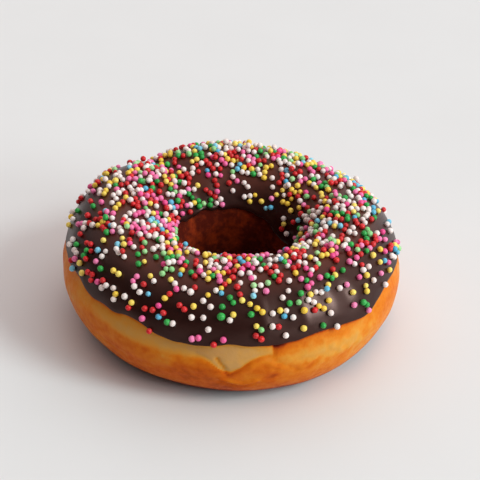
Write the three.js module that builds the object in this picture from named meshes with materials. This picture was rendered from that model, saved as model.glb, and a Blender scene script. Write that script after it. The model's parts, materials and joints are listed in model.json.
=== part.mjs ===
// A ring doughnut: a ring of fried yeast dough, a chocolate glaze over its upper half, and
// little sugar balls (nonpareils) on the glaze.
//
// Millimetres, +Z up, resting on the plane z = 0, with the middle of its footprint at the origin.
// A bearing is an angle round the ring in degrees: 0 is +X (right), 90 is +Y (back),
// -90 is -Y (near side). A place on the section is an angle round the ring's thick "tube":
// 0 is the outer waist, 90 the crown, 180 the wall of the hole and 270 the underside.
import * as THREE from 'three';

// ---- driving dimensions ----------------------------------------------------------------------
const OUTER_RADIUS = 45;
const HOLE_RADIUS = 14.6;
const CROWN_HEIGHT = 33.3;
const WAIST_HEIGHT = 16;
const FLATTENING = 1.2; // how far the round underside would reach below the plane it rests on
const HOLE_OFFSET = { x: 1.6, y: 0.3 }; // the hole sits a little off the middle of the ring
const SECTION_POWER = { across: 0.92, up: 0.95 }; // under 1: a slightly fuller section than an oval

const GLAZE_THICKNESS = 0.9;
const GAP = 0.3; // between neighbouring pieces
const BALL_RADIUS = 0.8;

// A hand-formed ring is never quite round. Each swelling is added round a bearing, fades over a
// spread in degrees, and is a number of millimetres high; a negative one is a hollow.
const OUTER_SWELLINGS = [
  { bearing: 152, spread: 20, size: 1.9 },
  { bearing: 45, spread: 24, size: -1.6 },
  { bearing: -48, spread: 20, size: 0.9 },
];
const HOLE_SWELLINGS = [{ bearing: 0, spread: 30, size: 0.8 }];
const CROWN_SWELLINGS = [
  { bearing: 128, spread: 6, size: -3.2 }, // the seam between the ring's two lobes
  { bearing: 150, spread: 16, size: 1.2 },
  { bearing: 40, spread: 26, size: -2.0 },
];

// Low on the outer side the dough is tucked in more than an oval, most at this place.
const TUCK = { place: -45, spread: 22 };
const TUCK_SWELLINGS = [
  { bearing: -138, spread: 26, size: -1.2 },
  { bearing: -28, spread: 14, size: -1.2 },
];

// The height above the table at which the glaze stops, outside and in the hole.
const GLAZE_EDGE_HEIGHT = 21.6;
const GLAZE_EDGE_RUNS = [
  { bearing: -98, spread: 18, size: -2.7 }, // it has run furthest down on the near side
  { bearing: -62, spread: 14, size: -1.6 },
  { bearing: -40, spread: 7, size: -2.2 },
  { bearing: 70, spread: 16, size: -1.2 },
  { bearing: 168, spread: 12, size: 0.6 },
];
const HOLE_EDGE_HEIGHT = 22.5;
const HOLE_EDGE_RUNS = [
  { bearing: 180, spread: 28, size: 2.0 },
  { bearing: 20, spread: 30, size: -8.0 }, // here it has run deep down the wall of the hole
];
const EDGE_SCALLOPS = [
  { waves: 11, size: 0.35, turn: 20 },
  { waves: 23, size: 0.2, turn: 70 },
];

// ---- mesh fineness ---------------------------------------------------------------------------
const BEARING_STEPS = 72;
const DOUGH_STEPS = 26; // over the top of the section, from its flat underside and back to it
const GLAZE_STEPS = 12; // from the outer edge of the glaze to its edge in the hole
const BALL_STEPS = { around: 8, down: 6 };

// ---- colours ---------------------------------------------------------------------------------
const CRUST = new THREE.MeshStandardMaterial({ color: '#cf843c', roughness: 0.65, metalness: 0 });
const CHOCOLATE = new THREE.MeshStandardMaterial({ color: '#3a2522', roughness: 0.3, metalness: 0 });
const SUGAR = {
  white: new THREE.MeshStandardMaterial({ color: '#ece3dc', roughness: 0.5, metalness: 0 }),
  red: new THREE.MeshStandardMaterial({ color: '#c8202a', roughness: 0.5, metalness: 0 }),
  pink: new THREE.MeshStandardMaterial({ color: '#ea6f9c', roughness: 0.5, metalness: 0 }),
  green: new THREE.MeshStandardMaterial({ color: '#3f9b4c', roughness: 0.5, metalness: 0 }),
  yellow: new THREE.MeshStandardMaterial({ color: '#efc64f', roughness: 0.5, metalness: 0 }),
  blue: new THREE.MeshStandardMaterial({ color: '#7cc4dc', roughness: 0.5, metalness: 0 }),
};

// The balls that lie apart from the thick scatter: bearing, place on the section, colour and,
// for the few large ones, how many times the usual size.
const LONE_BALLS = [
  [-162, 31, 'pink'],
  [-161, 22, 'blue'],
  [-158, 33, 'yellow'],
  [-154, 29, 'yellow'],
  [-151, 34, 'red'],
  [-146, 45, 'green'],
  [-144, 34, 'pink'],
  [-142, 38, 'red'],
  [-141, 32, 'white'],
  [-140, 51, 'yellow'],
  [-137, 51, 'yellow'],
  [-134, 34, 'yellow'],
  [-134, 29, 'white'],
  [-130, 36, 'white'],
  [-128, 48, 'white'],
  [-125, 53, 'red'],
  [-125, 45, 'white'],
  [-121, 33, 'red'],
  [-121, 24, 'pink'],
  [-118, 34, 'red'],
  [-118, 14, 'red'],
  [-115, 47, 'yellow'],
  [-114, 34, 'red'],
  [-112, 58, 'pink'],
  [-112, 27, 'green'],
  [-110, 27, 'white'],
  [-107, 41, 'red'],
  [-104, 45, 'yellow'],
  [-104, 35, 'white'],
  [-101, 51, 'white'],
  [-101, 18, 'pink'],
  [-100, 36, 'white'],
  [-98, 26, 'white'],
  [-96, 13, 'red'],
  [-94, 47, 'green'],
  [-94, 38, 'green', 1.3],
  [-93, 18, 'pink'],
  [-90, 40, 'yellow'],
  [-87, 53, 'yellow'],
  [-84, 40, 'green'],
  [-83, 57, 'blue'],
  [-82, 45, 'yellow'],
  [-81, 18, 'red'],
  [-77, 28, 'white'],
  [-75, 27, 'red'],
  [-74, 41, 'yellow'],
  [-73, 19, 'white'],
  [-70, 33, 'white'],
  [-67, 22, 'yellow'],
  [-66, 37, 'yellow', 1.15],
  [-60, 20, 'green'],
  [-55, 14, 'white'],
  [-47, 26, 'pink'],
  [-43, 24, 'green'],
  [-29, 22, 'white'],
  [-5, 28, 'pink'],
  [100, 92, 'blue'],
  [148, 88, 'yellow'],
];

// ---- the ring's shape ------------------------------------------------------------------------
const radians = THREE.MathUtils.degToRad;
const degrees = THREE.MathUtils.radToDeg;

// 1 at the middle angle, fading to nothing over the spread.
function bell(angle, middle, spread) {
  const away = THREE.MathUtils.euclideanModulo(angle - middle + 180, 360) - 180;
  return Math.exp(-0.5 * (away / spread) ** 2);
}

function swell(base, swellings, bearing) {
  let value = base;
  for (const { bearing: middle, spread, size } of swellings) {
    value += size * bell(bearing, middle, spread);
  }
  return value;
}

function signedPower(value, power) {
  return Math.sign(value) * Math.abs(value) ** power;
}

// A point of the doughnut's outer surface, or one that lies deeper by the inset.
function ringPoint(bearing, place, inset = 0) {
  const outer = swell(OUTER_RADIUS, OUTER_SWELLINGS, bearing);
  const hole = swell(HOLE_RADIUS, HOLE_SWELLINGS, bearing);
  const crown = swell(CROWN_HEIGHT, CROWN_SWELLINGS, bearing);
  const across = signedPower(Math.cos(radians(place)), SECTION_POWER.across);
  const up = signedPower(Math.sin(radians(place)), SECTION_POWER.up);
  const rise = up >= 0 ? crown - WAIST_HEIGHT - inset : WAIST_HEIGHT + FLATTENING;
  const tuck = swell(0, TUCK_SWELLINGS, bearing) * bell(place, TUCK.place, TUCK.spread);
  const radius = (outer + hole) / 2 + ((outer - hole) / 2 - inset) * across + tuck;
  const towardsHole = (1 - Math.cos(radians(place))) / 2;
  return new THREE.Vector3(
    radius * Math.cos(radians(bearing)) + towardsHole * HOLE_OFFSET.x,
    radius * Math.sin(radians(bearing)) + towardsHole * HOLE_OFFSET.y,
    Math.max(WAIST_HEIGHT + rise * up, 0),
  );
}

// The place on the outer side of the section where the surface is this high.
function placeAtHeight(bearing, height) {
  const crown = swell(CROWN_HEIGHT, CROWN_SWELLINGS, bearing);
  const rise = height >= WAIST_HEIGHT ? crown - WAIST_HEIGHT : WAIST_HEIGHT + FLATTENING;
  const up = (height - WAIST_HEIGHT) / rise;
  return degrees(Math.asin(signedPower(up, 1 / SECTION_POWER.up)));
}

function scallops(bearing) {
  let height = 0;
  for (const { waves, size, turn } of EDGE_SCALLOPS) {
    height += size * Math.sin(radians(waves * bearing + turn));
  }
  return height;
}

function glazeEdges(bearing) {
  const outerHeight = swell(GLAZE_EDGE_HEIGHT, GLAZE_EDGE_RUNS, bearing) + scallops(bearing);
  const holeHeight = swell(HOLE_EDGE_HEIGHT, HOLE_EDGE_RUNS, bearing) + scallops(-bearing);
  return {
    outer: placeAtHeight(bearing, outerHeight),
    hole: 180 - placeAtHeight(bearing, holeHeight),
  };
}

// A closed skin swept round the ring. sectionAt gives the closed loop of points at a bearing, in
// order from the outer side over the crown to the hole and back below, so the faces look out.
function sweepRing(sectionAt) {
  const loops = [];
  for (let column = 0; column < BEARING_STEPS; column += 1) {
    loops.push(sectionAt((column * 360) / BEARING_STEPS - 180));
  }
  const size = loops[0].length;
  const corners = loops.flat().flatMap((point) => point.toArray());
  const triangles = [];
  for (let column = 0; column < BEARING_STEPS; column += 1) {
    const here = column * size;
    const next = ((column + 1) % BEARING_STEPS) * size;
    for (let row = 0; row < size; row += 1) {
      const after = (row + 1) % size;
      triangles.push(here + row, next + row, next + after);
      triangles.push(here + row, next + after, here + after);
    }
  }
  const geometry = new THREE.BufferGeometry();
  geometry.setAttribute('position', new THREE.Float32BufferAttribute(corners, 3));
  geometry.setIndex(triangles);
  geometry.computeVertexNormals();
  return geometry;
}

// ---- the dough -------------------------------------------------------------------------------
// Under the glaze the dough lies deeper by the glaze and the gap; below the glaze's edge it swells
// out to the full shape over a short run.
const SWELL_RUN = 16; // degrees of the section

function doughSection(bearing) {
  const { outer, hole } = glazeEdges(bearing);
  const footing = placeAtHeight(bearing, 0);
  const points = [];
  for (let row = 0; row <= DOUGH_STEPS; row += 1) {
    const place = THREE.MathUtils.lerp(footing, 180 - footing, row / DOUGH_STEPS);
    const covered =
      THREE.MathUtils.smoothstep(place, outer - SWELL_RUN, outer - 1) *
      (1 - THREE.MathUtils.smoothstep(place, hole + 1, hole + SWELL_RUN));
    points.push(ringPoint(bearing, place, covered * (GLAZE_THICKNESS + GAP)));
  }
  return points;
}

function makeDough() {
  const dough = new THREE.Mesh(sweepRing(doughSection), CRUST);
  dough.name = 'dough_ring';
  return dough;
}

// ---- the glaze -------------------------------------------------------------------------------
const LIP_INSET = 0.35 * GLAZE_THICKNESS; // rounds the lip's outer corner

function glazeSection(bearing) {
  const { outer, hole } = glazeEdges(bearing);
  const places = [];
  for (let row = 0; row <= GLAZE_STEPS; row += 1) {
    places.push(THREE.MathUtils.lerp(outer, hole, row / GLAZE_STEPS));
  }
  const outside = places.map((place, row) => {
    const atLip = row === 0 || row === GLAZE_STEPS;
    return ringPoint(bearing, place, atLip ? LIP_INSET : 0);
  });
  const inside = places.map((place) => ringPoint(bearing, place, GLAZE_THICKNESS));
  return [...outside, ...inside.reverse()];
}

function makeGlaze() {
  const glaze = new THREE.Mesh(sweepRing(glazeSection), CHOCOLATE);
  glaze.name = 'chocolate_glaze';
  return glaze;
}

// ---- the sugar balls -------------------------------------------------------------------------
function makeBalls() {
  const counts = {};
  return LONE_BALLS.map(([bearing, place, colour, times = 1]) => {
    const radius = BALL_RADIUS * times;
    const ball = new THREE.Mesh(
      new THREE.SphereGeometry(radius, BALL_STEPS.around, BALL_STEPS.down),
      SUGAR[colour],
    );
    ball.position.copy(ringPoint(bearing, place, -(radius + GAP)));
    counts[colour] = (counts[colour] ?? 0) + 1;
    ball.name = `nonpareil_${colour}_${String(counts[colour]).padStart(2, '0')}`;
    return ball;
  });
}

// ---- the doughnut ----------------------------------------------------------------------------
const doughnut = new THREE.Group();
doughnut.add(makeDough(), makeGlaze(), ...makeBalls());

// the swellings make it a little lopsided, so the whole is moved to centre it over the origin
const middle = new THREE.Box3().setFromObject(doughnut).getCenter(new THREE.Vector3());
doughnut.position.set(-middle.x, -middle.y, 0);

export default doughnut;
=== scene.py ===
# %% [markdown]
# # A glazed ring doughnut
# The doughnut is a ring of fried yeast dough, a skin of chocolate glaze over its upper half, and a
# scatter of sugar balls, called nonpareils, stuck in the glaze. The CAD model already holds the
# size and place of the dough, of the glaze and of some of the balls, so this lesson reads them back
# from that frame. It adds the fine surface, the other balls and the finishes, which the solids
# leave out.

import json
import math

import bmesh
import bpy
import numpy as np
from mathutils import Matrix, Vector
from mathutils.bvhtree import BVHTree
from mathutils.kdtree import KDTree


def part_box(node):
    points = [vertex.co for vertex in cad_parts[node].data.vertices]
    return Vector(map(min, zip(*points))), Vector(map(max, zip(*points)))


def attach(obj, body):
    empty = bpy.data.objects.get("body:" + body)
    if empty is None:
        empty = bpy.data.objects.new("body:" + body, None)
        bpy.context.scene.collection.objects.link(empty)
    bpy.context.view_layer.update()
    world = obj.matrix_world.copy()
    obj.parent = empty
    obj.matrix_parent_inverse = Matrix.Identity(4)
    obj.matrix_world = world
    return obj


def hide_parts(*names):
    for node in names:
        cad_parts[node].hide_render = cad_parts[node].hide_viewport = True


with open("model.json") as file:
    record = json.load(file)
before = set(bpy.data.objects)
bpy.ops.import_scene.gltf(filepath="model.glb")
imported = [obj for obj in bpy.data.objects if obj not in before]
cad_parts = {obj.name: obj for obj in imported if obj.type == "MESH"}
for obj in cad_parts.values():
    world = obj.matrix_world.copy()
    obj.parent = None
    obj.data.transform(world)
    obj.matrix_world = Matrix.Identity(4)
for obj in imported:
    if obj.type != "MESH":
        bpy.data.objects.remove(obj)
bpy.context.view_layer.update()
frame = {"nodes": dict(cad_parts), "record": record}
MM = 0.001

# %% [markdown]
# ## Where a point of a ring is
# Two angles give any place on a ring. The bearing goes round the ring: 0 is to the right, -90 the
# near side. The place goes round the thick section: 0 is the outer waist, 90 the crown, 180 the
# wall of the hole and 270 the underside. Everything here is worked out on a grid of bearings and
# places, because such a grid closes on itself both ways, and numpy can treat it as one table.

# %% The ring's own measures, read from the frame
hole_low, hole_high = (Vector(corner) for corner in frame["record"]["physics"]["openings"][0]["box_m"])
hole_centre = (hole_low + hole_high) / 2
dough_low, dough_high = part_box("dough_ring")
outer_centre = (dough_low + dough_high) / 2
dough_points = [v.co for v in frame["nodes"]["dough_ring"].data.vertices]
HOLE_RADIUS = min((p.xy - hole_centre.xy).length for p in dough_points)
OUTER_RADIUS = (dough_high.x - dough_low.x + dough_high.y - dough_low.y) / 4
HEART_RADIUS = (OUTER_RADIUS + HOLE_RADIUS) / 2
HALF_WIDTH = (OUTER_RADIUS - HOLE_RADIUS) / 2
HALF_HEIGHT = dough_high.z / 2
HEART = (outer_centre + hole_centre) / 2
HEART.z = HALF_HEIGHT
print(f"hole radius {HOLE_RADIUS / MM:.1f} mm, outer radius {OUTER_RADIUS / MM:.1f} mm")

# %% The grid
COLUMNS = 480
PLACES = 240
bearings = np.arange(COLUMNS) * 360 / COLUMNS - 180
places = np.arange(PLACES) * 360 / PLACES - 90
BEARING, PLACE = np.meshgrid(bearings, places, indexing="ij")
column_mm = 2 * math.pi * HEART_RADIUS / MM / COLUMNS
row_mm = math.pi * (HALF_WIDTH + HALF_HEIGHT) / MM / PLACES
print(f"grid steps: {column_mm:.2f} mm round the ring, {row_mm:.2f} mm round the section")


def heart_points(bearing):
    """The middle of the ring's thick tube at each bearing."""
    angle = np.radians(bearing)
    ring = np.stack([np.cos(angle), np.sin(angle), np.zeros_like(angle)], -1)
    return np.array(HEART) + HEART_RADIUS * ring


def ways_out(bearing, place):
    """Unit directions from the heart towards each place on the section."""
    across = HALF_WIDTH * np.cos(np.radians(place))
    up = HALF_HEIGHT * np.sin(np.radians(place))
    angle = np.radians(bearing)
    way = np.stack([across * np.cos(angle), across * np.sin(angle), up], -1)
    return way / np.linalg.norm(way, axis=-1, keepdims=True)


# %% [markdown]
# ## Reading a solid back
# A ray is sent from the heart of the ring through each place, and where it leaves the solid is
# that solid's surface. The solid's own mesh could be divided and smoothed instead, but then the
# marks on the dough would have no grid to be drawn on. The CAD surface has flat facets, so the
# dough's distances are blurred by about one facet; the glaze's only tell where its edges run. A
# blur on a grid that closes on itself is a multiplication in its Fourier transform.

# %% Rays and blur
def distances(node_name):
    """How far from the heart each ray leaves a CAD node; NaN where it misses."""
    mesh = frame["nodes"][node_name].data
    tree = BVHTree.FromPolygons([v.co for v in mesh.vertices], [p.vertices for p in mesh.polygons])
    start = heart_points(BEARING)
    way = ways_out(BEARING, PLACE)
    reach = 1.5 * HALF_HEIGHT
    found = np.full(BEARING.shape, np.nan)
    for index in np.ndindex(BEARING.shape):
        origin = Vector(start[index])
        direction = Vector(way[index])
        hit = tree.ray_cast(origin, direction, reach)
        while hit[0] is not None:
            found[index] = (hit[0] - origin).length
            hit = tree.ray_cast(hit[0] + direction * 1e-6, direction, reach - found[index])
    return found


def blurred(field, around, across):
    """Blurs a field by so many grid steps round the ring and round the section."""
    turns_around = np.fft.fftfreq(COLUMNS)[:, None]
    turns_across = np.fft.fftfreq(PLACES)[None, :]
    fade = np.exp(-2 * math.pi**2 * ((turns_around * around) ** 2 + (turns_across * across) ** 2))
    return np.fft.ifft2(np.fft.fft2(field) * fade).real


def unevenness(size_mm, seed, stretch=1.0):
    """A random field of lumps of this size, of mean 0 and spread 1; stretch draws them out
    round the ring."""
    white = np.random.default_rng(seed).standard_normal((COLUMNS, PLACES))
    field = blurred(white, stretch * size_mm / column_mm / 2, size_mm / row_mm / 2)
    return (field - field.mean()) / field.std()


def step(low, high, value):
    """0 below low, 1 above high, and a smooth rise between them."""
    share = np.clip((value - low) / (high - low), 0, 1)
    return share * share * (3 - 2 * share)


dough_wall = blurred(distances("dough_ring"), 3.0, 3.0)
glaze_wall = distances("chocolate_glaze")
print(f"rays that meet the glaze: {np.isfinite(glaze_wall).mean():.0%}")

# %% [markdown]
# ## The glaze's two edges
# The glaze ends at one edge outside and one in the hole. Along each bearing they are the first and
# the last place where a ray met the glaze, so the large runs stay where the CAD has them. A poured
# glaze never ends in a smooth line: it stops in little tongues a few millimetres wide. Those could
# be drawn one by one, but they follow no plan, so a small random wander is added to both edges.

# %% Edges of the glaze
EDGE_WANDER_MM = 0.35
DEGREES_PER_MM = 360 / PLACES / row_mm


def line_noise(size_mm, seed):
    """Random wander along a line round the ring, of spread 1."""
    line = unevenness(size_mm, seed)[:, 0]
    return line / line.std()


def edge_wander(seed):
    """How many degrees of place an edge wanders at each bearing."""
    wander = 0.7 * line_noise(5.0, seed) + 0.3 * line_noise(2.0, seed + 1)
    return EDGE_WANDER_MM * DEGREES_PER_MM * wander


def along_ring(values, steps):
    """Blurs values along the ring."""
    return blurred(np.repeat(values[:, None], PLACES, 1), steps, 0)[:, 0]


covered = np.isfinite(glaze_wall)
outer_edge = np.array([places[row].min() for row in covered])
hole_edge = np.array([places[row].max() for row in covered])
outer_edge = along_ring(outer_edge, 3.0) + edge_wander(11)
hole_edge = along_ring(hole_edge, 3.0) + edge_wander(21)
print(f"glaze from place {outer_edge.min():.0f}..{outer_edge.max():.0f} to "
      f"{hole_edge.min():.0f}..{hole_edge.max():.0f} degrees")

# %% [markdown]
# ## How brown the dough is, and its painted shade
# A ring fries on one side and then on the other. The strip round the waist floats clear of the fat
# and keeps pale and soft, and the rest goes from gold to orange to red-brown. The glaze hides most
# of the strip here, apart from a cream-coloured patch on the near side where one lobe of the dough
# opened late. The browning could be painted on by hand. A number at each point, 0 for raw cream
# and 1 for dark brown, is easier to adjust, so it is built up from a base, a few chosen patches and
# random mottling, and the colours are chosen later from that one number. The same number carries
# painted shade too: darker in the hole, low down towards the table and close under the glaze's lip,
# and painted glints on the blisters.

# %% Browning: helpers
def swell(base, swellings, bearing):
    """A base value with hills and hollows: each has a bearing, a spread and a size."""
    value = np.full_like(bearing, float(base))
    for middle, spread, size in swellings:
        away = (bearing - middle + 180) % 360 - 180
        value += size * np.exp(-0.5 * (away / spread) ** 2)
    return value


def patch(bearing, spread, high, high_spread, size):
    """A soft patch on the outer side, round a bearing and a height in millimetres."""
    away = (BEARING - bearing + 180) % 360 - 180
    fade = np.exp(-0.5 * (away / spread) ** 2 - 0.5 * ((height - high) / high_spread) ** 2)
    return size * fade * (outside > -0.2)


def surface(wall):
    """Points of the surface at these distances from the heart."""
    points = heart_points(BEARING) + wall[..., None] * ways_out(BEARING, PLACE)
    points[..., 2] = np.maximum(points[..., 2], 0)
    return points


height = surface(dough_wall)[..., 2] / MM
outside = np.cos(np.radians(PLACE))
in_hole = step(0.25, -0.35, outside)

# %% Browning: the cream patch
CREAM_BORDER_MM = 16
CREAM_SWELLINGS = [(-92, 4, -4.4), (-165, 20, 3)]
CREAM_END = -77.5
CREAM_END_FADE = 0.5  # degrees to each side


def border_height(bearing):
    """How high the patch's lower border runs: it dips in one tongue and climbs at the far left."""
    return swell(CREAM_BORDER_MM, CREAM_SWELLINGS, bearing)


border = border_height(BEARING) + 0.25 * unevenness(3.0, 31, stretch=2.0)
sharpness = 0.35 + 1.2 * step(4, 20, np.abs(BEARING + 90))
cream = step(-sharpness, sharpness, height - border) * (1 - in_hole)
cream *= np.clip(swell(0.15, [(-90, 14, 0.85), (-118, 12, 0.62), (-137, 9, 0.25)], BEARING), 0, 1)
cream *= 1 - step(CREAM_END - CREAM_END_FADE, CREAM_END + CREAM_END_FADE, BEARING)
print(f"cream-coloured share of the skin: {cream.mean():.1%}")

# %% Browning and painted shade: the whole field
BROWN_PATCHES = [
    # bearing, spread, height, spread, size
    (-86, 10, 18.5, 0.8, 0.26),
    (-91, 2, 11, 0.8, 0.20),
    (-78, 2, 10, 1.2, 0.20),
    (-105, 8, 10, 3, 0.09),
    (-125, 14, 8, 3, 0.09),
    (-82, 5, 13, 1.3, 0.10),
    (-65, 9, 14.5, 1.3, -0.25),
    (-76, 1.5, 18, 2, 0.12),
    (-54, 7, 18.5, 1.6, 0.10),
    (-50, 5, 13.5, 2, -0.10),
    (-150, 12, 15, 2.5, -0.08),
]
browning = swell(0.60, [(-60, 26, -0.08), (0, 40, -0.02)], BEARING)
# Painted shade: darker below 10 mm and more below 5 mm, where the ring curves under towards the table.
browning = browning + 0.12 * step(10, 2, height) + 0.25 * step(5.0, 2.4, height)
for one in BROWN_PATCHES:
    browning += patch(*one)
browning += 0.035 * unevenness(7.0, 34) + 0.025 * unevenness(2.6, 35, stretch=1.5)
browning += 0.02 * unevenness(1.1, 36)
browning = browning + cream * (0.10 - browning + 0.04 * unevenness(3.0, 37) + 0.02 * unevenness(1.2, 38))
browning += 0.12 * step(18.6, 20.2, height) * cream
# In the hole the skin is set near the darkest brown: partly browner crust, partly painted shade for the
# dark hollow.
browning = browning * (1 - in_hole) + in_hole * (0.98 + 0.03 * unevenness(5.0, 39))
browning = np.clip(browning, 0, 1)
print(f"browning from {browning.min():.2f} to {browning.max():.2f}")

# %% [markdown]
# ## Creases, a crack and blisters
# Where two swollen lobes of dough meet, the skin tears or folds, and where a bubble of steam came
# up under it there is a blister. They could be sculpted, but a line of a few points is quick to
# move. Each line is given by bearings and heights, and it pushes the skin in or out close to it;
# the fold under the cream patch follows the patch's own border.
# Distances to a line are measured on the unrolled outer side. Each groove is also coloured darker
# by its depth, which is painted shade. The larger blisters are thrown at random round two middles,
# and a field of fine ones roughens the skin round three. Blisters are paler than the skin beside
# them, partly as their thin skin browns less and partly as painted glints, and the fine ones are
# lighter on their tops and darker between them, as painted glints and painted shade. Close under the
# glaze's lip the dough is darkened as painted shade.

# %% Lines on the dough
BORDER_STOPS = 9


def along_border(start, end):
    """Points of bearing and height along the cream patch's lower border."""
    stops = np.linspace(start, end, BORDER_STOPS)
    return list(zip(stops, border_height(stops)))


RIDGE = [(-95, 9.5), (-88, 7.5), (-83, 8.5)]
UNDER_RIDGE_MM = 1
CREASES = [
    # points of bearing and height, push in millimetres, half width in millimetres
    ([(-96, 15.5), (-93.5, 13)], -0.62, 0.34),
    (along_border(-103, -93), -0.30, 0.45),
    (along_border(-93, -79), -0.38, 0.40),
    ([(-79, 15.5), (-70, 11)], -0.24, 0.50),
    ([(-79, 14), (-74, 12)], 0.22, 0.40),
    ([(CREAM_END, 16), (CREAM_END, 21)], -0.28, 0.45),
    (RIDGE, 0.46, 0.34),
    ([(bearing, high - UNDER_RIDGE_MM) for bearing, high in RIDGE], -0.26, 0.40),
    ([(-73, 14), (-55, 13)], -0.16, 0.40),
    ([(-127, 10), (-112, 10)], -0.12, 0.60),
    ([(-146, 11), (-130, 10)], -0.14, 0.60),
    ([(20, 12), (38, 11)], 0.25, 0.60),
    ([(118, 15), (128, 8)], -0.40, 0.70),
]
BLISTER_GROUPS = [
    # bearing, spread, how many
    (-53, 10, 12),
    (-113, 14, 4),
]
BLISTER_HEIGHT_MM = 13.5
BLISTER_HEIGHT_SPREAD = 1.4
BLISTER_RADII_MM = (0.5, 0.9)
BLISTER_RISE = 0.3  # of its radius
# how dark the painted shade in a groove is for its depth
CREASE_SHADE_STRENGTH = 2.2
LIP_SHADE = 0.28
LIP_SHADE_MM = 0.4


def across_outside(bearing):
    """Millimetres along the ring's outer side, counted from bearing 0."""
    return np.radians(bearing) * OUTER_RADIUS / MM


def distance_to_line(points):
    """Millimetres from each grid point to a line on the ring's outer side."""
    across = across_outside(BEARING)
    nearest = np.full(BEARING.shape, 1e3)
    for (b0, h0), (b1, h1) in zip(points, points[1:]):
        start = np.array([across_outside(b0), h0])
        leg = np.array([across_outside(b1), h1]) - start
        share = ((across - start[0]) * leg[0] + (height - start[1]) * leg[1]) / (leg @ leg)
        share = np.clip(share, 0, 1)
        gap = np.hypot(across - start[0] - share * leg[0], height - start[1] - share * leg[1])
        nearest = np.minimum(nearest, gap)
    return np.where(outside > 0, nearest, 1e3)


line_relief = np.zeros(BEARING.shape)
crack_depth = np.zeros(BEARING.shape)
for points, push, width in CREASES:
    mark = np.exp(-0.5 * (distance_to_line(points) / width) ** 2)
    line_relief += push * mark
    # Painted shade: each groove is coloured darker by its depth.
    crack_depth = np.maximum(crack_depth, CREASE_SHADE_STRENGTH * max(-push, 0) ** 3 * mark)
blister_mark = np.zeros(BEARING.shape)
blister_dice = np.random.default_rng(48)
for middle, spread, count in BLISTER_GROUPS:
    for _ in range(count):
        bearing = blister_dice.normal(middle, spread)
        high = blister_dice.normal(BLISTER_HEIGHT_MM, BLISTER_HEIGHT_SPREAD)
        radius = blister_dice.uniform(*BLISTER_RADII_MM)
        gap = np.hypot(across_outside(BEARING - bearing), height - high)
        mark = np.exp(-((gap / radius) ** 2)) * (outside > 0)
        line_relief += BLISTER_RISE * radius * mark
        blister_mark = np.maximum(blister_mark, mark)
rough_skin = outside * swell(0, [(-52, 16, 1.0), (-88, 10, 0.4), (-118, 14, 0.3)], BEARING)
rough_skin = rough_skin * np.exp(-0.5 * ((height - 13.5) / 3.0) ** 2)
fine_blisters = rough_skin * np.clip(unevenness(0.8, 46), -1, 2.5)
line_relief += 0.10 * fine_blisters
# Blisters are made paler, partly as their thin skin browns less and partly as painted glints; the fine
# blisters are lighter on their tops and darker between them, as painted glints and painted shade.
browning = browning - 0.09 * blister_mark - 0.06 * fine_blisters - 0.07 * rough_skin * unevenness(2.6, 47)
browning = np.clip(browning, 0.24 * (1 - cream), 1)
# Painted shade: a thin darker line close under the glaze's lip.
under_lip = (outer_edge[:, None] - PLACE) / DEGREES_PER_MM
browning = browning + LIP_SHADE * np.exp(-0.5 * (under_lip / LIP_SHADE_MM) ** 2)
print(f"{len(CREASES)} lines, {line_relief.min():.2f} to {line_relief.max():.2f} mm")

# %% [markdown]
# ## One mesh for the dough
# The relief is added to the distances: broad lumps from proving, fine wrinkles where the skin has
# dried, and the lines and blisters. A bump in the finish would only shade these, and their outline
# would stay smooth, so they are made in the mesh. The cream patch lies a little deeper than the
# fried skin round it. All of it fades out towards the flat ring that the doughnut rests on. Deep
# under the glaze nothing shows, so only every third row of the grid is kept there.

# %% Dough mesh
def mesh_object(name, points, faces, **values):
    """A smooth-shaded object from points and faces, with a number for each point in each of
    the named values."""
    mesh = bpy.data.meshes.new(name)
    mesh.from_pydata(points.reshape(-1, 3).tolist(), [], faces)
    mesh.polygons.foreach_set("use_smooth", [True] * len(mesh.polygons))
    for value_name, numbers in values.items():
        attribute = mesh.attributes.new(value_name, "FLOAT", "POINT")
        attribute.data.foreach_set("value", np.asarray(numbers, np.float32).ravel())
    made = bpy.data.objects.new(name, mesh)
    bpy.context.scene.collection.objects.link(made)
    return made


def ring_faces(rows):
    """Quads of a skin whose points close on themselves round the ring and round the section."""
    column, row = np.meshgrid(np.arange(COLUMNS), np.arange(rows), indexing="ij")
    next_column = (column + 1) % COLUMNS
    next_row = (row + 1) % rows
    corners = [column * rows + row, next_column * rows + row,
               next_column * rows + next_row, column * rows + next_row]
    return np.stack(corners, -1).reshape(-1, 4).tolist()


GLAZE_BED_MM = 0.25
CREAM_DEPTH_MM = 0.22
resting = step(0.2, 4.0, height)
wrinkles = unevenness(1.1, 41, stretch=1.6) * step(-0.3, 1.0, unevenness(6.0, 42))
relief_mm = (
    0.16 * unevenness(11.0, 44)
    + 0.07 * unevenness(4.0, 45)
    + 0.03 * wrinkles
    - CREAM_DEPTH_MM * cream
    + line_relief
)
under_glaze = step(-2, 4, PLACE - outer_edge[:, None]) * step(-2, 4, hole_edge[:, None] - PLACE)
relief_mm = relief_mm * resting * (1 - 0.8 * under_glaze) + GLAZE_BED_MM * under_glaze
dough_wall = dough_wall + relief_mm * MM
dough_surface = surface(dough_wall)

deep = (places > 40) & (places < 130)
kept = np.flatnonzero(~deep | (np.arange(PLACES) % 3 == 0))
dough = mesh_object(
    "dough_skin", dough_surface[:, kept], ring_faces(len(kept)),
    browning=browning[:, kept], crack=crack_depth[:, kept],
)
print(f"dough: {len(dough.data.polygons)} faces")

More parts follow.
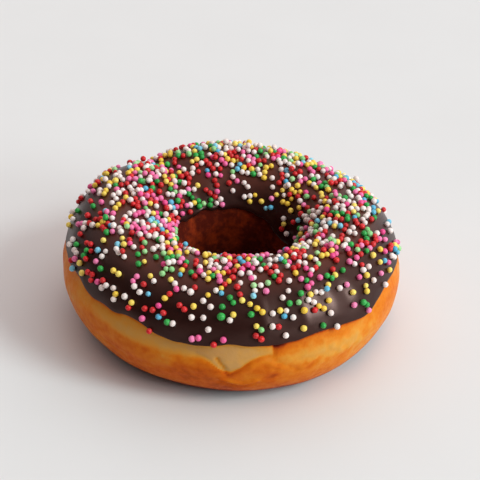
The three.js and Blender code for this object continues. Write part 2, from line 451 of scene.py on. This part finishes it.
# %% [markdown]
# ## The glaze
# Melted chocolate runs down until it sets, so its edge is a fat rounded lip, a little thicker than
# the skin above it. A copy of the dough's skin could be thickened by a modifier, but that ends in a
# square edge. So the glaze is grown from the dough: at each point it lies its own thickness over
# the skin, and the thickness rises from nothing at the lip in a quarter round. Ridges where it ran
# down and slow waves from setting make the soft streaks that show in its reflections. Two numbers
# go to its finish: how far down the outer side or into the hole a point lies, and how dulled it is
# close to its outer lip.

# %% Glaze mesh
GLAZE_MM = 0.65
LIP_ROUND_MM = 0.45
BEAD_MM = 0.06
BEAD_AT_MM = 1.4
BEAD_WIDTH_MM = 0.9
BURIED_MM = 0.25  # how far the glaze's hidden side lies under the dough's skin
OUTER_ROWS = 132
INNER_ROWS = 22


def at_places(field, wanted):
    """Values of a grid field at other places, column by column."""
    spot = (wanted + 90) / (360 / PLACES)
    low = np.floor(spot).astype(int)
    share = spot - low
    column = np.arange(COLUMNS)[:, None]
    return field[column, low % PLACES] * (1 - share) + field[column, (low + 1) % PLACES] * share


def rows_between(count, crowding):
    """Numbers from 0 to 1, closer together towards both ends."""
    even = np.linspace(0, 1, count)
    return even - crowding * np.sin(2 * math.pi * even) / (2 * math.pi)


def glaze_places(count, crowding):
    """Places from the glaze's outer edge to its edge in the hole, along each bearing."""
    share = rows_between(count, crowding)
    return outer_edge[:, None] + (hole_edge - outer_edge)[:, None] * share


STREAMS = [
    # bearing, spread in degrees, rise in millimetres
    (-80.5, 1.6, 0.26), (-74, 2.2, -0.14), (-66, 1.6, 0.28), (-60.5, 1.8, -0.18), (-55, 2.0, 0.24),
    (-49, 1.6, -0.14), (-44, 1.8, 0.12), (-97, 2.2, 0.06), (-112, 2.5, 0.08), (-128, 2.0, 0.06),
]
STREAM_LEAN = 0.04  # degrees of bearing for each degree of place
STREAM_MIDDLE = 40
leaning_bearing = BEARING + STREAM_LEAN * (PLACE - STREAM_MIDDLE)
streams = step(12, 24, PLACE) * step(72, 50, PLACE) * swell(0, STREAMS, leaning_bearing)
run_streaks = streams + 0.07 * unevenness(5.0, 51) + 0.10 * unevenness(9.0, 52)
run_streaks = run_streaks + 0.015 * unevenness(2.0, 53)
outer_places = glaze_places(OUTER_ROWS, 0.75)
from_lip = np.minimum(outer_places - outer_edge[:, None], hole_edge[:, None] - outer_places)
from_lip = from_lip / DEGREES_PER_MM
quarter_round = np.sqrt(np.clip(1 - (1 - np.clip(from_lip / LIP_ROUND_MM, 0, 1)) ** 2, 0, 1))
bead = BEAD_MM * np.exp(-0.5 * ((from_lip - BEAD_AT_MM) / BEAD_WIDTH_MM) ** 2)
streaks = at_places(run_streaks, outer_places) * step(0.5, 3.0, from_lip)
thickness = quarter_round * (GLAZE_MM + bead + streaks)
top_wall = at_places(dough_wall, outer_places) + thickness * MM

inner_places = glaze_places(INNER_ROWS, 0.0)[:, ::-1][:, 1:-1]
inner_wall = at_places(dough_wall, inner_places) - BURIED_MM * MM


def points_at(wanted, wall):
    """Points at these places and these distances from the heart, column by column."""
    bearing = np.repeat(bearings[:, None], wanted.shape[1], 1)
    return heart_points(bearing) + wall[..., None] * ways_out(bearing, wanted)


glaze_top = points_at(outer_places, top_wall)
glaze_skin = np.concatenate([glaze_top, points_at(inner_places, inner_wall)], 1)
all_places = np.concatenate([outer_places, inner_places], 1)
run_down = np.maximum(step(78, 50, all_places), step(122, 148, all_places))
glaze = mesh_object("glaze_skin", glaze_skin, ring_faces(glaze_skin.shape[1]),
                    run_down=run_down, dulled=step(30, 8, all_places))
print(f"glaze: {len(glaze.data.polygons)} faces, {thickness.max():.2f} mm at its thickest")

# %% [markdown]
# ## Where the sugar balls lie
# A hand shakes the balls over the wet glaze, so they fall thick on the crown and round the hole and
# thin on the steep outer side. They also roll against one another and stick in twos and threes, and
# where they fall thickest a few lie on top. Blender's own nodes can scatter points too, but a plain
# loop shows how the clinging and the stacking come about. Balls are thrown one by one, and one that
# would run into an earlier one is either set on top or thrown away. The balls that the CAD holds
# are placed first, pressed into the glaze. At one place on the wall of the hole a pinch of yellow
# fell together.

# %% The glaze as a field of points and normals
def unit(vectors):
    """The same directions at length 1."""
    return vectors / np.maximum(np.linalg.norm(vectors, axis=-1, keepdims=True), 1e-12)


along = np.roll(glaze_top, -1, 0) - np.roll(glaze_top, 1, 0)
up_section = np.gradient(glaze_top, axis=1)
cross = np.cross(along, up_section)
patch_area = (np.linalg.norm(cross, axis=-1) / 2 / MM**2).ravel()
glaze_points = glaze_top.reshape(-1, 3)
glaze_normals = unit(cross).reshape(-1, 3)
glaze_tree = KDTree(len(glaze_points))
for index, point in enumerate(glaze_points):
    glaze_tree.insert(point, index)
glaze_tree.balance()
print(f"glazed area {patch_area.sum():.0f} mm2")

# %% How thick the scatter is, in throws per square millimetre
SCATTER = [
    # bearing, spread, place, spread, throws
    (-95, 42, 99, 13, 0.75),
    (-160, 26, 115, 14, 0.50),
    (168, 14, 104, 18, 0.75),
    (165, 14, 138, 12, 0.40),
    (2, 24, 85, 22, 0.42),
    (5, 20, 88, 8, 0.20),
    (35, 25, 84, 18, 0.58),
    (92, 26, 94, 15, 0.85),
    (-95, 70, 77, 10, 0.12),
    (-80, 10, 74, 8, 0.42),
    (-42, 14, 108, 10, -0.30),
    (-62, 14, 88, 14, 0.25),
    (47, 13, 128, 14, 0.32),
    (95, 22, 120, 10, 0.22),
    (80, 9, 113, 10, 0.30),
    (110, 16, 140, 12, 0.20),
    (107, 20, 154, 4, 0.35),
    (50, 16, 141, 8, 0.25),
    (-178, 14, 146, 10, 0.80),
    (142, 14, 122, 22, 0.30),
    (146, 14, 88, 10, 0.30),
    (74, 9, 134, 12, -0.25),
    (127, 4, 100, 16, -0.20),
    (-172, 8, 92, 8, -0.22),
    (-42, 18, 44, 10, 0.08),
    (-70, 14, 50, 9, 0.08),
    (-90, 70, 20, 10, -0.10),
    (-100, 30, 44, 10, -0.04),
    (-55, 14, 30, 8, -0.05),
]
USUAL_THROWS = 0.12
THINNEST = 0.012
CLUMP_MM = 4.5
CLUMPING = 0.45


def hill(bearing, place, middle, spread, row, row_spread):
    """1 round a bearing and a place, fading over a spread of each."""
    away = (bearing - middle + 180) % 360 - 180
    return np.exp(-0.5 * (away / spread) ** 2 - 0.5 * ((place - row) / row_spread) ** 2)


def throws_per_mm2(bearing, place):
    """The usual number of throws with every hill and hollow of the scatter added."""
    throws = np.full(bearing.shape, USUAL_THROWS)
    for middle, spread, row, row_spread, size in SCATTER:
        throws += size * hill(bearing, place, middle, spread, row, row_spread)
    return np.maximum(throws, THINNEST)


outer_bearings = np.repeat(bearings[:, None], OUTER_ROWS, 1)
clumps = np.exp(CLUMPING * at_places(unevenness(CLUMP_MM, 61), outer_places))
thickness_of_scatter = throws_per_mm2(outer_bearings, outer_places) * clumps
thickness_of_scatter *= step(1.0, 2.0, from_lip) * step(176, 158, outer_places)
thickness_of_scatter = thickness_of_scatter.ravel()
throw_count = int((patch_area * thickness_of_scatter).sum())
print(f"{throw_count} throws")

# %% Balls that keep clear of one another
BALL_MM = 0.75  # the radius of a usual ball
SINK_SHARE = 0.25  # of its radius
CLOSEST = 0.95  # of the sum of two radii: neighbours may press together by a twentieth


class Scatter:
    def __init__(self, cell):
        self.cell = cell
        self.cells = {}
        self.balls = []

    def key(self, point):
        """The cell that a point is in."""
        return [int(math.floor(c / self.cell)) for c in point]

    def is_free(self, point, radius):
        """Whether a ball fits here without running into another."""
        i, j, k = self.key(point)
        for di, dj, dk in np.ndindex(3, 3, 3):
            for other, other_radius in self.cells.get((i + di - 1, j + dj - 1, k + dk - 1), []):
                if math.dist(point, other) < CLOSEST * (radius + other_radius):
                    return False
        return True

    def add(self, point, radius, colour):
        """Keeps a ball and files it in its cell."""
        self.cells.setdefault(tuple(self.key(point)), []).append((point, radius))
        self.balls.append((point, radius, colour))


def seat(target, radius):
    """The centre of a ball pressed into the glaze nearest a target point, how thick the
    scatter is there and the glaze's normal."""
    _, index, _ = glaze_tree.find(target)
    normal = glaze_normals[index]
    off = np.asarray(target) - glaze_points[index]
    on_skin = glaze_points[index] + off - normal * (off @ normal)
    centre = on_skin + normal * radius * (1 - SINK_SHARE)
    return tuple(centre), thickness_of_scatter[index], normal


scatter = Scatter(2.5 * BALL_MM * MM)
ball_nodes = sorted(name for name in frame["nodes"] if name.startswith("nonpareil_"))
for name in ball_nodes:
    low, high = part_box(name)
    radius = (high.z - low.z) / 2
    centre, _, _ = seat((low + high) / 2, radius)
    scatter.add(centre, radius, name.split("_")[1])
print(f"{len(scatter.balls)} balls from the CAD")

# %% The rest of the scatter
COLOUR_SHARES = {"white": 0.29, "red": 0.2, "pink": 0.15, "green": 0.08, "pale_green": 0.06,
                 "yellow": 0.15, "blue": 0.06}
SIZE_SPREAD = 0.06
SIZE_RANGE = (0.86, 1.18)
CLING_CHANCE = 0.35
CLING_REACH = 6  # radii
TOUCHING = 1.02  # of the sum of two radii
SAME_COLOUR_CHANCE = 0.25
STACK_CHANCE = 0.16
STACK_WHERE = 0.35  # throws per square millimetre
STACK_LIFT = 1.3  # radii
YELLOW_PINCH = (45, 12, 138, 9)  # bearing, spread, place, spread
YELLOW_CHANCE = 0.8
yellow_chance = YELLOW_CHANCE * hill(outer_bearings, outer_places, *YELLOW_PINCH).ravel()
dice = np.random.default_rng(7)
colour_names = list(COLOUR_SHARES)
colour_chances = np.array(list(COLOUR_SHARES.values()))
colour_chances = colour_chances / colour_chances.sum()
weights = patch_area * thickness_of_scatter
places_thrown = dice.choice(weights.size, size=throw_count, p=weights / weights.sum())
for thrown in places_thrown:
    radius = BALL_MM * MM * float(np.clip(dice.normal(1.0, SIZE_SPREAD), *SIZE_RANGE))
    colour = colour_names[dice.choice(len(colour_names), p=colour_chances)]
    if dice.uniform() < yellow_chance[thrown]:
        colour = "yellow"
    target = glaze_points[thrown] + dice.uniform(-0.3, 0.3, 3) * MM
    centre, thick, normal = seat(target, radius)
    if dice.uniform() < CLING_CHANCE:
        near = min(scatter.balls, key=lambda ball: math.dist(ball[0], centre))
        if math.dist(near[0], centre) < CLING_REACH * radius:
            aside = unit(np.asarray(centre) - np.asarray(near[0]))
            target = np.asarray(near[0]) + aside * (near[1] + radius) * TOUCHING
            centre, thick, normal = seat(target, radius)
            colour = near[2] if dice.uniform() < SAME_COLOUR_CHANCE else colour
    if scatter.is_free(centre, radius):
        scatter.add(centre, radius, colour)
    elif thick > STACK_WHERE and dice.uniform() < STACK_CHANCE:
        on_top = tuple(np.asarray(centre) + normal * radius * STACK_LIFT)
        if scatter.is_free(on_top, radius):
            scatter.add(on_top, radius, colour)
print(f"{len(scatter.balls)} balls in all")

# %% [markdown]
# ## The balls as meshes
# A nonpareil is a grain of sugar rolled in syrup until it is nearly round, so each ball is a ball
# with a slightly uneven skin, a little longer one way than another and turned at random. All the
# balls of one colour are one object, because they share a finish; a number on each ball's points
# lets the finish vary from ball to ball. Copies of a single ball would be lighter, but its bumps
# would then repeat all over the doughnut.

# %% Ball meshes
def round_ball():
    """Points and faces of a fine geodesic ball of radius 1."""
    shell = bmesh.new()
    bmesh.ops.create_icosphere(shell, subdivisions=3, radius=1.0)
    points = np.array([v.co for v in shell.verts])
    faces = np.array([[v.index for v in f.verts] for f in shell.faces])
    shell.free()
    return points, faces


ball_points, ball_faces = round_ball()


def uneven_ball(dice):
    """One ball's points: squeezed, with a few soft lumps, and turned at random."""
    lumps = np.ones(len(ball_points))
    for _ in range(5):
        way = unit(dice.standard_normal(3))
        lumps += dice.uniform(-0.035, 0.035) * np.exp(4 * (ball_points @ way - 1))
    squeeze = 1 + dice.uniform(-0.06, 0.06, 3)
    turn, _ = np.linalg.qr(dice.standard_normal((3, 3)))
    return (ball_points * lumps[:, None] * squeeze) @ turn.T


def make_balls(colour):
    """All the balls of one colour as one object."""
    mine = [ball for ball in scatter.balls if ball[2] == colour]
    points, shades = [], []
    for centre, radius, _ in mine:
        points.append(np.array(centre) + radius * uneven_ball(dice))
        shades.append(np.full(len(ball_points), dice.uniform()))
    faces = [(ball_faces + i * len(ball_points)) for i in range(len(mine))]
    made = mesh_object("nonpareils_" + colour, np.concatenate(points), np.concatenate(faces).tolist(),
                       shade=np.concatenate(shades))
    print(f"{made.name}: {len(mine)} balls, {len(made.data.polygons)} faces")
    return made


balls = {colour: make_balls(colour) for colour in COLOUR_SHARES}

# %% [markdown]
# ## Finishes: the helpers
# Colours are written as sRGB hex values, as a colour picker shows them, and turned to the linear
# values that a shader works with. One function adds a node with its settings and its links.

# %% Colour and node helpers
def linear(hex_colour):
    """An sRGB hex colour as linear red, green, blue and alpha."""
    channels = [int(hex_colour[i:i + 2], 16) / 255 for i in (1, 3, 5)]
    return [c / 12.92 if c <= 0.04045 else ((c + 0.055) / 1.055) ** 2.4 for c in channels] + [1.0]


def add(tree, kind, inputs=None, **settings):
    """Adds a node. settings are its own properties; inputs gives each socket, by name or
    number, either a value or another node's output to link."""
    made = tree.nodes.new(kind)
    for name, value in settings.items():
        setattr(made, name, value)
    for name, value in (inputs or {}).items():
        if isinstance(value, bpy.types.NodeSocket):
            tree.links.new(value, made.inputs[name])
        else:
            made.inputs[name].default_value = value
    return made


def new_material(name):
    """An empty material with its output node; returns the material, its tree and the output."""
    material = bpy.data.materials.new(name)
    material.use_nodes = True
    material.node_tree.nodes.clear()
    return material, material.node_tree, add(material.node_tree, "ShaderNodeOutputMaterial")


def per_metre(millimetres):
    """The scale of a texture whose features are this many millimetres apart, on objects that
    are in metres."""
    return 1 / (millimetres * MM)


# %% [markdown]
# ## Fried crust
# The skin of a raised doughnut is dried, browned dough with a thin film of frying fat. The browning
# gives the eye a warm orange that deepens in patches, the fat a soft broad shine, and the light
# that enters the crumb and comes out again takes the hardness off the shadows. In the hole the
# colour reaches the dark end of the ramp through browner crust and painted shade together, and close
# to the table through painted shade; there the crust is dry and dull. The colour could come from
# noise alone, but then it wouldn't follow the frying, so the browning and painted shade pick it
# from a ramp and noise only mottles it. Pores and fine creping, a little under a millimetre apart,
# are bumps.

# %% Fried crust material
# The darkest stops also colour the painted shade in the hole, near the table and under the lip.
CRUST_AND_SHADE_COLOURS = [
    (0.05, "#c79355"), (0.22, "#d09444"), (0.40, "#d98f32"), (0.55, "#d87613"), (0.70, "#ca5a03"),
    (0.85, "#942f03"), (1.00, "#480e02"),
]


def colour_ramp(tree, factor, stops):
    """A ramp through several colours, each at its own position from 0 to 1."""
    made = add(tree, "ShaderNodeValToRGB", {"Fac": factor})
    elements = made.color_ramp.elements
    elements[0].position, elements[0].color = stops[0][0], linear(stops[0][1])
    elements[1].position, elements[1].color = stops[-1][0], linear(stops[-1][1])
    for position, hex_colour in stops[1:-1]:
        elements.new(position).color = linear(hex_colour)
    return made.outputs["Color"]


def fried_crust():
    """The dough's skin: warm orange, with a soft broad shine from the fat."""
    material, tree, output = new_material("fried_dough_crust")
    spot = add(tree, "ShaderNodeTexCoord").outputs["Object"]
    browned_and_shaded = add(tree, "ShaderNodeAttribute", attribute_name="browning").outputs["Fac"]
    crack = add(tree, "ShaderNodeAttribute", attribute_name="crack").outputs["Fac"]
    mottle = add(tree, "ShaderNodeTexNoise", {"Vector": spot, "Scale": per_metre(1.6), "Detail": 5.0,
                                              "Roughness": 0.6}).outputs["Fac"]
    freckles = add(tree, "ShaderNodeMapRange", {"Value": mottle, "From Min": 0.3, "From Max": 0.7,
                                                "To Min": -0.05, "To Max": 0.05}).outputs["Result"]
    tone = add(tree, "ShaderNodeMath", {0: browned_and_shaded, 1: freckles}, operation="ADD").outputs["Value"]
    # The painted shade of the grooves is added to the tone.
    in_crack = add(tree, "ShaderNodeMath", {0: crack, 1: 1.0, 2: tone},
                   operation="MULTIPLY_ADD").outputs["Value"]
    colour = colour_ramp(tree, in_crack, CRUST_AND_SHADE_COLOURS)
    shine = add(tree, "ShaderNodeMapRange", {"Value": mottle, "From Min": 0.3, "From Max": 0.7,
                                             "To Min": 0.36, "To Max": 0.56}).outputs["Result"]
    dry = add(tree, "ShaderNodeMapRange", {"Value": browned_and_shaded, "From Min": 0.85, "From Max": 0.96,
                                           "To Min": 0.0, "To Max": 0.5}).outputs["Result"]
    dullness = add(tree, "ShaderNodeMath", {0: shine, 1: dry}, operation="ADD").outputs["Value"]
    pores = add(tree, "ShaderNodeTexVoronoi", {"Vector": spot, "Scale": per_metre(0.9)},
                feature="SMOOTH_F1").outputs["Distance"]
    creping = add(tree, "ShaderNodeTexNoise", {"Vector": spot, "Scale": per_metre(0.7),
                                               "Detail": 3.0}).outputs["Fac"]
    coarse = add(tree, "ShaderNodeBump", {"Height": creping, "Strength": 0.4,
                                          "Distance": 0.14 * MM}).outputs["Normal"]
    fine = add(tree, "ShaderNodeBump", {"Height": pores, "Strength": 0.3, "Distance": 0.1 * MM,
                                        "Normal": coarse}).outputs["Normal"]
    shader = add(tree, "ShaderNodeBsdfPrincipled", {
        "Base Color": colour,
        "Roughness": dullness,
        "Normal": fine,
        "IOR": 1.45,
        "Specular IOR Level": 0.10,
        "Subsurface Weight": 0.2,
        "Subsurface Radius": (1.0, 0.45, 0.2),
        "Subsurface Scale": 1.2 * MM,
    })
    tree.links.new(shader.outputs["BSDF"], output.inputs["Surface"])
    return material


dough.data.materials.append(fried_crust())
print("material:", dough.data.materials[0].name)

# %% [markdown]
# ## Chocolate glaze
# This is cocoa, sugar and fat that has set on the warm dough. It is very dark and a little red, and
# its shine is soft rather than glassy, because fat and fine sugar crystals roughen it in patches.
# Down the outer side and into the hole it is coloured nearly black, and over the crown browner. Real
# depth of colour would need light traced through a thin clear layer, which is slow and noisy, so two
# dark browns are mixed by how far down the sides a point lies. The crystals are too fine to show,
# and are drawn as bumps 0.6 mm apart.

# %% Chocolate glaze material
def chocolate_glaze():
    """Set chocolate: nearly black, with a satin shine."""
    material, tree, output = new_material("set_chocolate_glaze")
    spot = add(tree, "ShaderNodeTexCoord").outputs["Object"]
    clouds = add(tree, "ShaderNodeTexNoise", {"Vector": spot, "Scale": per_metre(7), "Detail": 4.0})
    grain = add(tree, "ShaderNodeTexNoise", {"Vector": spot, "Scale": per_metre(0.6), "Detail": 3.0})
    run_down = add(tree, "ShaderNodeAttribute", attribute_name="run_down").outputs["Fac"]
    # The lighter browns are for the crown, the nearly black ones for the outer side and the hole.
    thin = add(tree, "ShaderNodeMix", {"Factor": clouds.outputs["Fac"], "A": linear("#3c170f"),
                                       "B": linear("#552419")}, data_type="RGBA").outputs["Result"]
    thick = add(tree, "ShaderNodeMix", {"Factor": clouds.outputs["Fac"], "A": linear("#1c0706"),
                                        "B": linear("#2a0f0b")}, data_type="RGBA").outputs["Result"]
    colour = add(tree, "ShaderNodeMix", {"Factor": run_down, "A": thin, "B": thick}, data_type="RGBA")
    bloom = add(tree, "ShaderNodeMapRange", {"Value": clouds.outputs["Fac"], "From Min": 0.3,
                                             "From Max": 0.7, "To Min": 0.31, "To Max": 0.39})
    dulled = add(tree, "ShaderNodeAttribute", attribute_name="dulled").outputs["Fac"]
    satin = add(tree, "ShaderNodeMath", {0: dulled, 1: 0.32, 2: bloom.outputs["Result"]},
                operation="MULTIPLY_ADD")
    skin = add(tree, "ShaderNodeBump", {"Height": grain.outputs["Fac"], "Strength": 0.2,
                                        "Distance": 0.05 * MM})
    shader = add(tree, "ShaderNodeBsdfPrincipled", {
        "Base Color": colour.outputs["Result"],
        "Roughness": satin.outputs["Value"],
        "Normal": skin.outputs["Normal"],
        "IOR": 1.45,
        "Specular IOR Level": 0.5,
        "Specular Tint": linear("#ffcabc"),
    })
    tree.links.new(shader.outputs["BSDF"], output.inputs["Surface"])
    return material


glaze.data.materials.append(chocolate_glaze())
print("material:", glaze.data.materials[0].name)

# %% [markdown]
# ## Sugar shell
# A nonpareil's colour is in its last coats of syrup. The shell is a fine-grained, slightly
# translucent sugar with a dull shine, and no two balls took quite the same amount of colour. One
# colour to a finish would look like plastic, so each runs from a strong to a weak tint, and each
# ball's own number picks its place between them. The real grain is too fine to show, and is drawn
# about a third of a millimetre apart.

# %% Sugar shell materials
SUGAR_COLOURS = {
    "white": ("#e8d4ce", "#f4e5df"),
    "red": ("#c1030d", "#da0e17"),
    "pink": ("#ea3c86", "#f684b4"),
    "green": ("#0b8f34", "#27ab45"),
    "pale_green": ("#7cc474", "#a9d896"),
    "yellow": ("#efc12f", "#f8dc6a"),
    "blue": ("#43a6cb", "#8ccfe0"),
}


def sugar_shell(colour_name):
    """Coloured sugar: a clear tint under a dull, faintly dusty shine."""
    material, tree, output = new_material("sugar_shell_" + colour_name)
    strong, weak = SUGAR_COLOURS[colour_name]
    spot = add(tree, "ShaderNodeTexCoord").outputs["Object"]
    shade = add(tree, "ShaderNodeAttribute", attribute_name="shade").outputs["Fac"]
    grain = add(tree, "ShaderNodeTexNoise", {"Vector": spot, "Scale": per_metre(0.35), "Detail": 2.0})
    tint = add(tree, "ShaderNodeMix", {"Factor": shade, "A": linear(strong), "B": linear(weak)},
               data_type="RGBA")
    dust = add(tree, "ShaderNodeMapRange", {"Value": grain.outputs["Fac"], "From Min": 0.35,
                                            "From Max": 0.75, "To Min": 0.0, "To Max": 0.06})
    colour = add(tree, "ShaderNodeMix", {"Factor": dust.outputs["Result"], "A": tint.outputs["Result"],
                                         "B": linear("#fff6ee")}, data_type="RGBA")
    skin = add(tree, "ShaderNodeBump", {"Height": grain.outputs["Fac"], "Strength": 0.3,
                                        "Distance": 0.04 * MM})
    shine = add(tree, "ShaderNodeMapRange", {"Value": grain.outputs["Fac"], "To Min": 0.3,
                                             "To Max": 0.5})
    shader = add(tree, "ShaderNodeBsdfPrincipled", {
        "Base Color": colour.outputs["Result"],
        "Roughness": shine.outputs["Result"],
        "Normal": skin.outputs["Normal"],
        "IOR": 1.45,
        "Specular IOR Level": 0.3,
        "Subsurface Weight": 0.12,
        "Subsurface Radius": (1.0, 0.8, 0.7),
        "Subsurface Scale": 0.3 * MM,
    })
    tree.links.new(shader.outputs["BSDF"], output.inputs["Surface"])
    return material


for colour, made in balls.items():
    made.data.materials.append(sugar_shell(colour))
print("materials:", [made.data.materials[0].name for made in balls.values()])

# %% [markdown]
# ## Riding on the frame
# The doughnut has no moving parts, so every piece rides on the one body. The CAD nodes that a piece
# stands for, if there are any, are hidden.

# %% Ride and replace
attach(dough, "root")
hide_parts("dough_ring")
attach(glaze, "root")
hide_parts("chocolate_glaze")
for colour, made in balls.items():
    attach(made, "root")
    stood_for = [name for name in ball_nodes if name.split("_")[1] == colour]
    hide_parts(*stood_for)

# %% [markdown]
# ## The table top, the light and the camera
# The doughnut lies on a plain pale table. A broad window light comes from the right and a little
# from the near side, which throws a soft shadow to the left; the pale room fills it in. The window
# is a sun lamp with a wide angle, because a lamp close by would light the table unevenly. A wide
# low lamp on the same side lights the dough, and a card behind that lamp shows only in what shines,
# so that the glaze's highlights can be set without changing the light on the dough.

# %% Table top
def pale_table():
    """A matt, nearly white table top that catches the shadow."""
    material, tree, output = new_material("pale_matt_table")
    spot = add(tree, "ShaderNodeTexCoord").outputs["Object"]
    grain = add(tree, "ShaderNodeTexNoise", {"Vector": spot, "Scale": per_metre(30), "Detail": 3.0})
    colour = add(tree, "ShaderNodeMix", {"Factor": grain.outputs["Fac"], "A": linear("#dedcdb"),
                                         "B": linear("#e2e0df")}, data_type="RGBA")
    shader = add(tree, "ShaderNodeBsdfPrincipled", {"Base Color": colour.outputs["Result"],
                                                    "Roughness": 0.7})
    tree.links.new(shader.outputs["BSDF"], output.inputs["Surface"])
    return material


bpy.ops.mesh.primitive_circle_add(vertices=96, radius=6.0, fill_type="NGON")
floor = bpy.context.object
floor.name = "table_top"
floor.data.materials.append(pale_table())

# %% Light
scene = bpy.context.scene
scene.view_settings.view_transform = "Standard"
ROOM_STRENGTH = 1.19


def room_light():
    """A pale room: brightest high up at the back right, darker low at the near left."""
    world = bpy.data.worlds.new("pale_room")
    world.use_nodes = True
    tree = world.node_tree
    tree.nodes.clear()
    way = add(tree, "ShaderNodeTexCoord").outputs["Generated"]
    facing = add(tree, "ShaderNodeVectorMath", {0: way, 1: (0.53, 0.40, 0.75)},
                 operation="DOT_PRODUCT").outputs["Value"]
    share = add(tree, "ShaderNodeMapRange", {"Value": facing, "From Min": -0.05, "From Max": 0.9})
    colour = add(tree, "ShaderNodeMix", {"Factor": share.outputs["Result"], "A": linear("#5a5452"),
                                         "B": linear("#fff7f6")}, data_type="RGBA").outputs["Result"]
    background = add(tree, "ShaderNodeBackground", {"Color": colour, "Strength": ROOM_STRENGTH})
    add(tree, "ShaderNodeOutputWorld", {"Surface": background.outputs["Background"]})
    return world


def direction(bearing, elevation):
    """The unit direction at this bearing and this many degrees over the table."""
    level = math.cos(math.radians(elevation))
    return Vector((level * math.cos(math.radians(bearing)), level * math.sin(math.radians(bearing)),
                   math.sin(math.radians(elevation))))


def place_lamp(name, light, towards, distance):
    """A lamp that stands off the ring in a direction and faces it."""
    lamp = bpy.data.objects.new(name, light)
    lamp.location = HEART + towards * distance
    lamp.rotation_euler = towards.to_track_quat("Z", "Y").to_euler()
    lamp.visible_camera = False
    scene.collection.objects.link(lamp)
    return lamp


def soft_box(name, energy):
    """A wide lamp with a soft white front."""
    light = bpy.data.lights.new(name, "AREA")
    light.shape = "RECTANGLE"
    light.size = 0.85
    light.size_y = 0.30
    light.energy = energy
    light.color = linear("#e6faff")[:3]
    return light


scene.world = room_light()
window = bpy.data.lights.new("window", "SUN")
window.angle = math.radians(18)
window.energy = 1.3
window.color = linear("#e9fdff")[:3]
place_lamp("window", window, direction(-24, 39), 1.0)
low_right = direction(-31, 22)
place_lamp("low_fill", soft_box("low_fill", 14), low_right, 2.0)
shine_card = place_lamp("shine_card", soft_box("shine_card", 24), low_right, 2.01)
shine_card.visible_diffuse = False

# %% Camera
CAMERA_ELEVATION = math.radians(32.5)
CAMERA_DISTANCE = 0.52
camera_data = bpy.data.cameras.new("camera")
camera_data.sensor_width = 36.0
camera_data.lens = 146.25
camera = bpy.data.objects.new("camera", camera_data)
scene.collection.objects.link(camera)
back = Vector((0, -math.cos(CAMERA_ELEVATION), math.sin(CAMERA_ELEVATION)))
aim = Vector((hole_centre.x, outer_centre.y + 0.8 * MM, 22.3 * MM))
camera.location = aim + back * CAMERA_DISTANCE
camera.rotation_euler = (math.pi / 2 - CAMERA_ELEVATION, 0, 0)
scene.camera = camera
